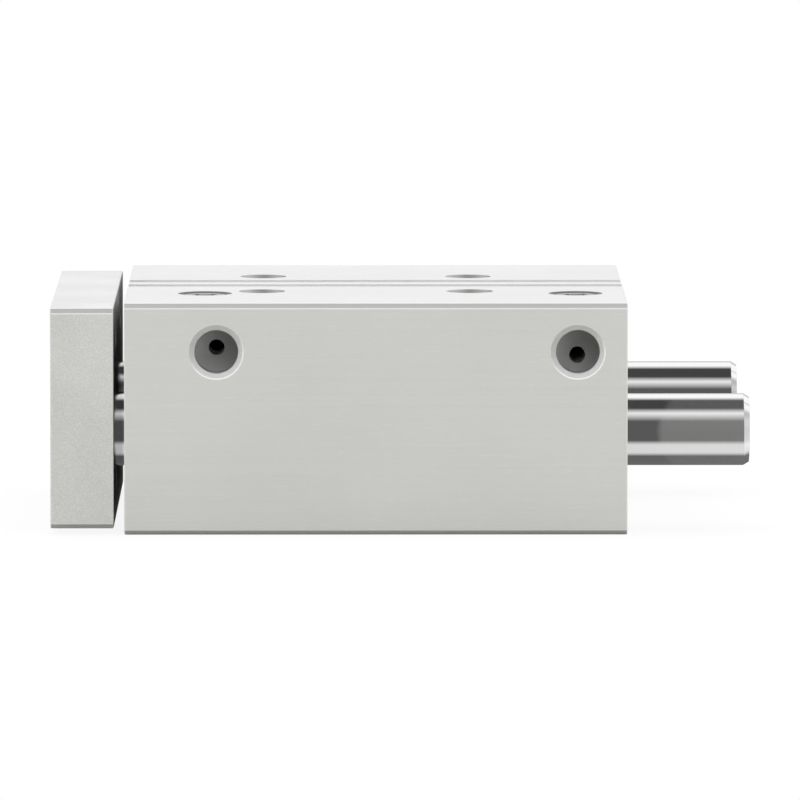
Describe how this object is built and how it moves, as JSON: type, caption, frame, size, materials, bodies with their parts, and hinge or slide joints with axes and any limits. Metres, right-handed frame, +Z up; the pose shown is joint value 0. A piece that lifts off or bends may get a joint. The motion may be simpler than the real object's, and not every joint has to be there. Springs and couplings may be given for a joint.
{
  "type": "guided pneumatic cylinder",
  "caption": "Compact guided pneumatic cylinder: block housing, end plate on guide rods that slide through it, side air ports and sensor slots.",
  "frame": {"origin": "centre of the four mounting holes, on the bottom face of the housing", "axes": "+X along the rods from the end plate to the rod tails, so the stroke extends along -X; +Z up from the base to the face with the sensor slots; the air ports are on the -Y side"},
  "size_m": [0.1552, 0.11, 0.0515],
  "materials": {
    "anodised_housing": "clear anodised extrusion, fine lengthwise draw lines",
    "blasted_plate": "bead blasted, clear anodised",
    "guide_rod_chrome": "ground and hard chromed",
    "piston_rod_chrome": "ground and hard chromed",
    "zinc_steel": "bright zinc plated",
    "phosphated_steel": "dark phosphated spring steel",
    "black_rubber": "moulded nitrile rubber",
    "bumper_rubber": "moulded polyurethane",
    "bronze": "sintered bronze, turned",
    "wear_ring_plastic": "filled PTFE band",
    "magnet": "plastic bonded magnet",
    "cap_aluminium": "turned and clear anodised"
  },
  "bodies": {
    "housing_assembly": {"housing": "anodised_housing", "front_bearing_cap": "cap_aluminium", "front_cap_o_ring": "black_rubber", "front_retaining_ring": "phosphated_steel", "rod_wiper": "black_rubber", "rod_seal": "black_rubber", "rod_bush": "bronze", "front_bumper": "bumper_rubber", "rear_bumper": "bumper_rubber", "rear_end_cap": "cap_aluminium", "rear_cap_o_ring": "black_rubber", "rear_retaining_ring": "phosphated_steel", "front_blanking_plug": "zinc_steel", "rear_blanking_plug": "zinc_steel", "near_front_guide_bush": "bronze", "near_front_guide_wiper": "black_rubber", "near_front_snap_ring": "phosphated_steel", "near_rear_guide_bush": "bronze", "near_rear_guide_wiper": "black_rubber", "near_rear_snap_ring": "phosphated_steel", "far_front_guide_bush": "bronze", "far_front_guide_wiper": "black_rubber", "far_front_snap_ring": "phosphated_steel", "far_rear_guide_bush": "bronze", "far_rear_guide_wiper": "black_rubber", "far_rear_snap_ring": "phosphated_steel"},
    "slide_unit": {"end_plate": "blasted_plate", "guide_rod_screws": "zinc_steel", "piston_rod": "piston_rod_chrome", "piston_rod_screw": "zinc_steel", "piston_front_half": "cap_aluminium", "piston_rear_half": "cap_aluminium", "front_piston_seal": "black_rubber", "rear_piston_seal": "black_rubber", "piston_magnet": "magnet", "piston_wear_ring": "wear_ring_plastic", "piston_nut": "zinc_steel", "near_guide_rod": "guide_rod_chrome", "far_guide_rod": "guide_rod_chrome"}
  },
  "joints": [
    {"name": "stroke", "type": "slide", "parent": "housing_assembly", "child": "slide_unit", "axis": [-1, 0, 0], "range_m": [0, 0.05]}
  ]
}
